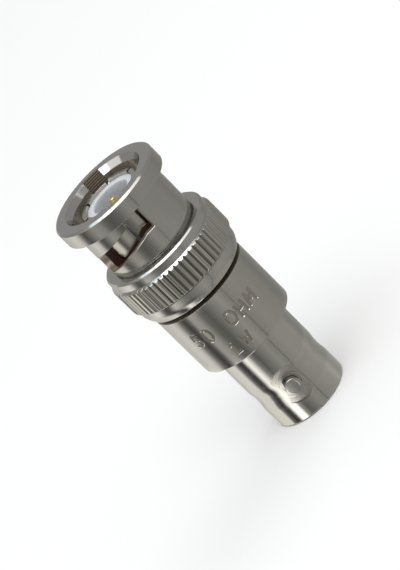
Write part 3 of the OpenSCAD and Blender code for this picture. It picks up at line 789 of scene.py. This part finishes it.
def entry_cutter(side):
    """The blind part of one groove, from the mouth down through the collar, with a curved floor."""
    half, floor, inner = 1.149, 5.85, 4.3
    steps = 12
    turn = math.radians(nut_turn) + side
    c, s = math.cos(turn), math.sin(turn)
    verts, faces = [], []
    for z in (32.5, 36.0):
        for i in range(steps + 1):
            x = half * (2 * i / steps - 1)
            a = math.asin(x / floor) + turn
            verts.append((floor * math.sin(a), -floor * math.cos(a), z))
        for x in (half, -half):
            y = math.sqrt(inner ** 2 - x * x)
            verts.append((x * c + y * s, x * s - y * c, z))
    ring = steps + 3
    for i in range(ring):
        k = (i + 1) % ring
        faces.append((i, k, ring + k, ring + i))
    faces.append(tuple(range(ring))[::-1])
    faces.append(tuple(range(ring, 2 * ring)))
    return plain_mesh("entry_cutter", verts, faces)


nut_mesh = turned_mesh("bayonet_nut", nut, steps=480)
for side in (0, math.pi):
    nut_mesh = cut(nut_mesh, groove_cutter(nut_sleeve, side))
    nut_mesh = cut(nut_mesh, entry_cutter(side))

knurl_tree, knurl_in, given = shape_rule("straight_knurl", "Nut", ["Teeth", "Points Per Tooth"], [
    "Root Radius", "Tip Radius", "Crest Share", "Low End", "High End", "End Chamfer", "End Length",
    "End Steepness"])


def sum_of(operation, *values):
    """One step of arithmetic in the knurl's tree."""
    return maths(knurl_tree, operation, *values)


rows_across, overrun, end_share, skirt_from, skirt_drop = 23, 1.1, 0.45, 0.49, 0.3
columns = sum_of("ADD", sum_of("MULTIPLY", given["Teeth"], given["Points Per Tooth"]), 1.0)
band = node(knurl_tree, "GeometryNodeMeshGrid", {"Size X": 1.0, "Size Y": 1.0, "Vertices X": columns,
                                                 "Vertices Y": rows_across}).outputs["Mesh"]
spot = node(knurl_tree, "GeometryNodeInputPosition").outputs[0]
spot = node(knurl_tree, "ShaderNodeSeparateXYZ", {0: spot}).outputs
around = sum_of("ADD", spot[0], 0.5)
across = sum_of("MULTIPLY_ADD", spot[1], overrun, 0.5)
across = node(knurl_tree, "ShaderNodeClamp", {0: across}).outputs[0]
in_tooth = sum_of("PINGPONG", sum_of("MULTIPLY", around, given["Teeth"]), 0.5)
half_crest = sum_of("MULTIPLY", given["Crest Share"], 0.5)
flank = ranged(knurl_tree, in_tooth, half_crest, 0.5, 1.0, 0.0)
rise = sum_of("SUBTRACT", given["Tip Radius"], given["Root Radius"])
tooth_radius = sum_of("MULTIPLY_ADD", flank, rise, given["Root Radius"])
length = sum_of("SUBTRACT", given["High End"], given["Low End"])
between = sum_of("MULTIPLY_ADD", given["End Length"], -2.0, length)
height = given["Low End"]
for start, end, run in ((0.0, end_share, given["End Length"]), (end_share, 1 - end_share, between),
                        (1 - end_share, 1.0, given["End Length"])):
    height = sum_of("ADD", height, ranged(knurl_tree, across, start, end, 0.0, run))
from_low = sum_of("SUBTRACT", height, given["Low End"])
from_high = sum_of("SUBTRACT", given["High End"], height)
end_base = sum_of("SUBTRACT", given["Tip Radius"], given["End Chamfer"])
from_end = sum_of("MINIMUM", from_low, from_high)
end_radius = sum_of("MULTIPLY_ADD", from_end, given["End Steepness"], end_base)
tooth_radius = sum_of("MINIMUM", tooth_radius, end_radius)
past_end = sum_of("GREATER_THAN", sum_of("ABSOLUTE", spot[1]), skirt_from)
tooth_radius = sum_of("MULTIPLY_ADD", past_end, -skirt_drop, tooth_radius)
swing = sum_of("MULTIPLY", around, 2 * math.pi)
tooth_x = sum_of("MULTIPLY", tooth_radius, sum_of("COSINE", swing))
tooth_y = sum_of("MULTIPLY", tooth_radius, sum_of("SINE", swing))
where = node(knurl_tree, "ShaderNodeCombineXYZ", {0: tooth_x, 1: tooth_y, 2: height}).outputs[0]
band = node(knurl_tree, "GeometryNodeSetPosition", {"Geometry": band, "Position": where}).outputs[0]
band = node(knurl_tree, "GeometryNodeMergeByDistance", {"Geometry": band, "Distance": 0.0001}).outputs[0]
whole = node(knurl_tree, "GeometryNodeJoinGeometry")
for part in (band, given["Nut"]):
    knurl_tree.links.new(part, whole.inputs[0])
end_rule(knurl_tree, whole.outputs[0], given["Plating"])

nut_nickel = nickel("nut_nickel", (0.46, 0.45, 0.42), (0.53, 0.52, 0.485), rough=(0.11, 0.16), spread=0.5)
groove_nickel = nickel("groove_nickel", (0.31, 0.26, 0.20), (0.48, 0.42, 0.34),
                       rough=(0.30, 0.42), spread=0.4, lines=2600.0, depth=0.8, ridge=0.00028, metal=0.4)
knurl_nickel = nickel("knurl_nickel", (0.44, 0.43, 0.39), (0.52, 0.51, 0.465),
                      rough=(0.14, 0.2), spread=0.3, depth=0.2, roots=(0.00703, 0.00709))
bore_nickel = nickel("bore_nickel", (0.34, 0.31, 0.24), (0.46, 0.42, 0.34),
                     rough=(0.2, 0.3), spread=0.3, metal=0.75)
stained_nickel = nickel("stained_nickel", (0.40, 0.25, 0.20), (0.50, 0.33, 0.27),
                        rough=(0.35, 0.45), spread=0.3, metal=0.4)
ramp_nickel = nickel("ramp_nickel", (0.31, 0.26, 0.20), (0.48, 0.42, 0.34),
                     rough=(0.24, 0.34), spread=0.4, depth=0.6, metal=0.6)
nut_mesh = through_nodes(nut_mesh, knurl_tree, knurl_in, {
    "Teeth": 60, "Points Per Tooth": 12, "Root Radius": 7.03, "Tip Radius": 7.27, "Crest Share": 0.46,
    "Low End": 21.6, "High End": 25.5, "End Chamfer": 0.5, "End Length": 0.5, "End Steepness": 1.2,
    "Plating": nut_nickel})
nut_mesh = shaded(nut_mesh, nut)
nut_finishes = [nut_nickel, groove_nickel, knurl_nickel, bore_nickel, stained_nickel, ramp_nickel]
add_piece("bayonet_nut", nut_mesh, nut_finishes, "nut", "nickel", "coupling_nut")
groove_low, groove_high, entry_from, stain_to = 26.95, 34.75, 32.45, 29.3
wall_from, wall_to, wall_top = 4.94, 5.67, 33.8
floor_from, floor_to, side_to = 5.7, 5.9, 6
bore_to, knurl_from = 4.92, 6.96
for face in nut_mesh.polygons:
    c, n = face.center * 1000, face.normal
    r = math.hypot(c.x, c.y)
    outward, sideways = (n.x * c.x + n.y * c.y) / r, (n.y * c.x - n.x * c.y) / r
    in_wall = wall_from < r < wall_to and c.z < wall_top
    groove_side = abs(sideways) > 0.6 and r < side_to
    entry_floor = floor_from < r < floor_to and outward < -0.6
    if groove_low < c.z < groove_high and (in_wall or groove_side or entry_floor):
        finish = groove_nickel if c.z > entry_from else ramp_nickel
    elif r > knurl_from and abs(n.z) < 0.4:
        finish = knurl_nickel
    elif r < bore_to and outward < -0.9:
        finish = bore_nickel if c.z > stain_to else stained_nickel
    else:
        finish = nut_nickel
    face.material_index = nut_finishes.index(finish)


# Studio: a plain pale floor that runs out of sight, soft lamps above, a dark screen, and a light cone
# round the part, as is set round small bright things. Cone and screen show only in the plating, as bands.

view_azimuth = 7.5
far, floor_z = 3, -0.0001
floor_corners = [(x, y, floor_z) for x, y in ((-far, -far), (far, -far), (far, far), (-far, far))]
floor_mesh = plain_mesh("floor", floor_corners, [(0, 1, 2, 3)])
floor = put_in("floor", floor_mesh)
floor_paint = bare_material("pale_floor", "ShaderNodeBsdfPrincipled", {
    "Base Color": (0.9, 0.9, 0.9, 1), "Roughness": 0.9, "Specular IOR Level": 0.0})[0]
floor_mesh.materials.append(floor_paint)


def only_mirrored(made):
    """Lets a thing of the studio show in reflections alone."""
    made.visible_camera = False
    made.visible_shadow = False
    made.visible_diffuse = False


def light_cone(name, low, high, wall, stops):
    """One height of the light cone, as a wall of that radius mirrors it to the camera. A stop is the angle
    of the wall, to the right of the camera's bearing, and the strength that it mirrors there."""
    apron, foot, slope, lift = (0.0049, 0.0062), 0.008, 0.67, 0.00002
    warm = (1.0, 0.98, 0.94, 1)
    angles, glows = zip(*stops)
    fine = np.unique(np.concatenate([np.arange(-180, 181, 2.0), angles]))
    glow = np.interp(fine, angles, glows)
    rim = [(r, lift) for r in (*apron, foot)] if low == 0 else []
    rim += [(foot + slope * z, z) for z in np.linspace(low + lift, high, 5)]
    verts, faces = [], []
    for angle in fine:
        seen = math.radians(max(-90, min(90, angle)))
        for r, z in rim:
            k = wall / r
            reach = math.sqrt(1 - (k * math.sin(seen)) ** 2) - k * math.cos(seen)
            bearing = math.atan2(k * math.sin(seen) + reach * math.sin(2 * seen),
                                 k * math.cos(seen) + reach * math.cos(2 * seen))
            past = max(0, abs(angle) - 90) / 90
            bearing += past * (math.copysign(math.pi, angle) - bearing)
            a = math.radians(view_azimuth) + bearing
            verts.append((r * math.sin(a), -r * math.cos(a), z))
    deep = len(rim)
    for i in range(len(fine) - 1):
        for j in range(deep - 1):
            k = i * deep + j
            faces.append((k, k + 1, k + deep + 1, k + deep))
    mesh = plain_mesh(name, verts, faces)
    mesh.attributes.new("glow", "FLOAT", "POINT").data.foreach_set("value", np.repeat(glow, deep))
    made = put_in(name, mesh)
    paint, light = bare_material(name, "ShaderNodeEmission", {"Color": warm})
    level = node(paint.node_tree, "ShaderNodeAttribute", attribute_name="glow").outputs["Fac"]
    paint.node_tree.links.new(level, light.inputs["Strength"])
    mesh.materials.append(paint)
    only_mirrored(made)


behind_left = [(-180, 0.55), (-165, 0.4), (-150, 0.35), (-130, 0.5), (-110, 0.6)]
behind_right = [(110, 0.45), (130, 0.5), (140, 0.25), (150, 0.6), (160, 0.8), (170, 0.55), (180, 0.55)]
seam = [(11.5, 0.38), (11.8, 0.22), (12.6, 0.22), (12.9, 0.4)]
barrel_wall, sleeve_wall, nut_wall = 0.004825, 0.00623, 0.0069
for name, low, high, wall, left, right in (
    ("cone_foot", 0.0, 0.0007, barrel_wall,
     [(-85, 0.9), (-75, 0.7), (-65, 1.15), (-50, 1.25), (-46, 0.25), (-40, 0.06), (-36, 0.15), (-33, 1.4),
      (-30, 2.6), (-25, 2.4), (-21, 0.5), (-15, 0.18), (-8, 0.28), (3, 0.44)],
     [(25, 0.46), (40, 0.52), (48, 0.64), (58, 0.48), (85, 0.5)]),
    ("cone_stud", 0.0007, 0.0034, barrel_wall,
     [(-85, 0.9), (-75, 0.7), (-65, 1.15), (-50, 1.2), (-46, 0.25), (-40, 0.06), (-36, 0.15), (-33, 1.3),
      (-29, 2.2), (-12, 2.0), (-9, 0.5), (-6, 0.3), (3, 0.44)],
     [(25, 0.46), (40, 0.5), (48, 0.55), (58, 0.43), (85, 0.45)]),
    ("cone_low", 0.0034, 0.0077, barrel_wall,
     [(-85, 0.95), (-75, 0.7), (-65, 1.1), (-52, 1.25), (-46, 0.25), (-40, 0.06), (-36, 0.12), (-33, 1.1),
      (-30, 1.9), (-26, 1.3), (-21, 0.35), (-15, 0.17), (-8, 0.3), (3, 0.46)],
     [(25, 0.47), (50, 0.47), (58, 0.38), (85, 0.4)]),
    ("cone_middle", 0.0077, 0.0146, sleeve_wall,
     [(-85, 0.75), (-75, 0.75), (-58, 1.12), (-53, 0.9), (-47, 0.26), (-41, 0.08), (-37, 0.2), (-33, 0.6),
      (-28, 0.55), (-21, 0.22), (-15, 0.17), (-8, 0.32), (3, 0.5)],
     [(25, 0.44), (50, 0.4), (60, 0.33), (85, 0.36)]),
    ("cone_lip", 0.0146, 0.0202, nut_wall,
     [(-85, 0.5), (-70, 0.7), (-54, 1.35), (-50, 1.1), (-46, 0.3), (-41, 0.08), (-37, 0.2), (-32, 0.9),
      (-27, 0.75), (-21, 0.36), (-15, 0.26), (-8, 0.33), (3, 0.5)],
     [(25, 0.46), (50, 0.41), (60, 0.33), (85, 0.34)]),
    ("cone_high", 0.0202, 0.036, nut_wall,
     [(-85, 0.5), (-72, 0.8), (-60, 1.1), (-54, 0.95), (-49, 0.26), (-45, 0.12), (-40, 0.27), (-33, 0.5),
      (-26, 0.43), (-20, 0.21), (-15, 0.15), (-7, 0.22), (3, 0.43)],
     [(25, 0.41), (50, 0.38), (60, 0.34), (85, 0.34)]),
):
    light_cone(name, low, high, wall, behind_left + left + seam + right + behind_right)


def lamp(name, azimuth, elevation, distance, width, depth, power, tint=(1, 1, 1), diffuse=True,
         glossy=True):
    """A soft box that faces the part from a bearing to the right of the camera's."""
    light = bpy.data.lights.new(name, "AREA")
    light.shape = "RECTANGLE"
    light.size = width
    light.size_y = depth
    light.energy = power
    light.color = tint
    made = put_in(name, light)
    a, e = math.radians(view_azimuth + azimuth), math.radians(elevation)
    back = Vector((math.sin(a) * math.cos(e), -math.cos(a) * math.cos(e), math.sin(e)))
    part_middle = Vector((0, 0, 0.02))
    made.location = part_middle + back * distance
    made.rotation_euler = back.to_track_quat("Z", "Y").to_euler()
    made.visible_camera = False
    made.visible_diffuse = diffuse
    made.visible_glossy = glossy


lamp("overhead", -4, 70, 0.5, 0.36, 0.28, 0.75)
lamp("overhead_wide", 8, 68, 0.55, 0.9, 0.3, 1.1, diffuse=False)
lamp("window", -80, 57, 0.5, 0.12, 0.18, 0.1, (0.7, 0.87, 1.0))
lamp("front_window", -36, 40, 0.5, 0.26, 0.12, 0.2, (0.86, 0.94, 1.0), diffuse=False)
lamp("front_window_glow", -55, 40, 0.52, 0.7, 0.18, 0.36, diffuse=False)
lamp("key_right", 125, 50, 0.6, 0.3, 0.3, 0.5, glossy=False)

screen_radius, screen_heights = 0.75, (0.05, 0.38)
screen_bearing = np.radians(view_azimuth + np.arange(-65, 56, 5.0))
screen_verts = [(screen_radius * math.sin(a), -screen_radius * math.cos(a), z)
                for a in screen_bearing for z in screen_heights]
screen_faces = [(2 * i, 2 * i + 1, 2 * i + 3, 2 * i + 2) for i in range(len(screen_bearing) - 1)]
screen_mesh = plain_mesh("dark_screen", screen_verts, screen_faces)
screen = put_in("dark_screen", screen_mesh)
screen_cloth = bare_material("dark_screen", "ShaderNodeBsdfPrincipled", {
    "Base Color": (0.02, 0.018, 0.015, 1), "Roughness": 0.9})[0]
screen_mesh.materials.append(screen_cloth)
only_mirrored(screen)

world = bpy.data.worlds.new("studio")
world.use_nodes = True
sky = world.node_tree
ray = node(sky, "ShaderNodeLightPath").outputs["Is Glossy Ray"]
all_round, mirrored = 0.78, 0.4
level = ranged(sky, ray, 0.0, 1.0, all_round, mirrored)
sky.links.new(level, sky.nodes["Background"].inputs["Strength"])
sky.nodes["Background"].inputs["Color"].default_value = (1, 1, 1, 1)
bpy.context.scene.world = world
bpy.context.scene.view_settings.view_transform = "Standard"


# Camera: a long lens that looks down into the plug's mouth from the front, and is rolled so that the part
# lies aslant in the frame.

lens = bpy.data.cameras.new("camera")
lens.lens = 174.46
lens.sensor_width = 36
lens.clip_start = 0.01
lens.clip_end = 20
camera = put_in("camera", lens)
aim, distance = Vector((0, 0, 0.01865)), 0.3037
azimuth, elevation, roll = math.radians(view_azimuth), math.radians(22.03), math.radians(45.38)
towards = Vector((math.sin(azimuth) * math.cos(elevation), -math.cos(azimuth) * math.cos(elevation),
                  math.sin(elevation)))
right = Vector((math.cos(azimuth), math.sin(azimuth), 0))
upright = towards.cross(right)
up = math.cos(roll) * upright + math.sin(roll) * right
across_frame = up.cross(towards)
turned = Matrix((across_frame, up, towards)).transposed().to_4x4()
camera.matrix_world = Matrix.Translation(aim + towards * distance) @ turned
bpy.context.scene.camera = camera
